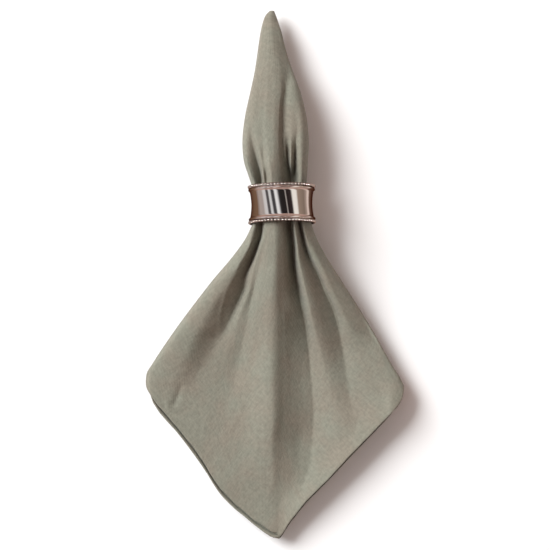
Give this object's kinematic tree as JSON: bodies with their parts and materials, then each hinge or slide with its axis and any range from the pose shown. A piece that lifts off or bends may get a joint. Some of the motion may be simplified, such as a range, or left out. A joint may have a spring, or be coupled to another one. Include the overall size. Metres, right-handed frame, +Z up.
{
  "type": "linen napkin in a ring",
  "caption": "Square linen napkin folded to a kite and drawn through a waisted metal napkin ring, lying on its back with a gathered spire above and an open skirt below.",
  "frame": {"origin": "centre of the bounding box in plan, on the surface that the napkin lies on", "axes": "+Y from the bottom corner towards the tip, +X to the right seen from above, +Z up"},
  "size_m": [0.1767, 0.3596, 0.046],
  "materials": {
    "linen": "matt plain-weave linen, grey with a little green and brown",
    "silver_plate": "polished silver plate"
  },
  "bodies": {
    "root": {"napkin": "linen", "ring": "silver_plate"}
  },
  "joints": []
}
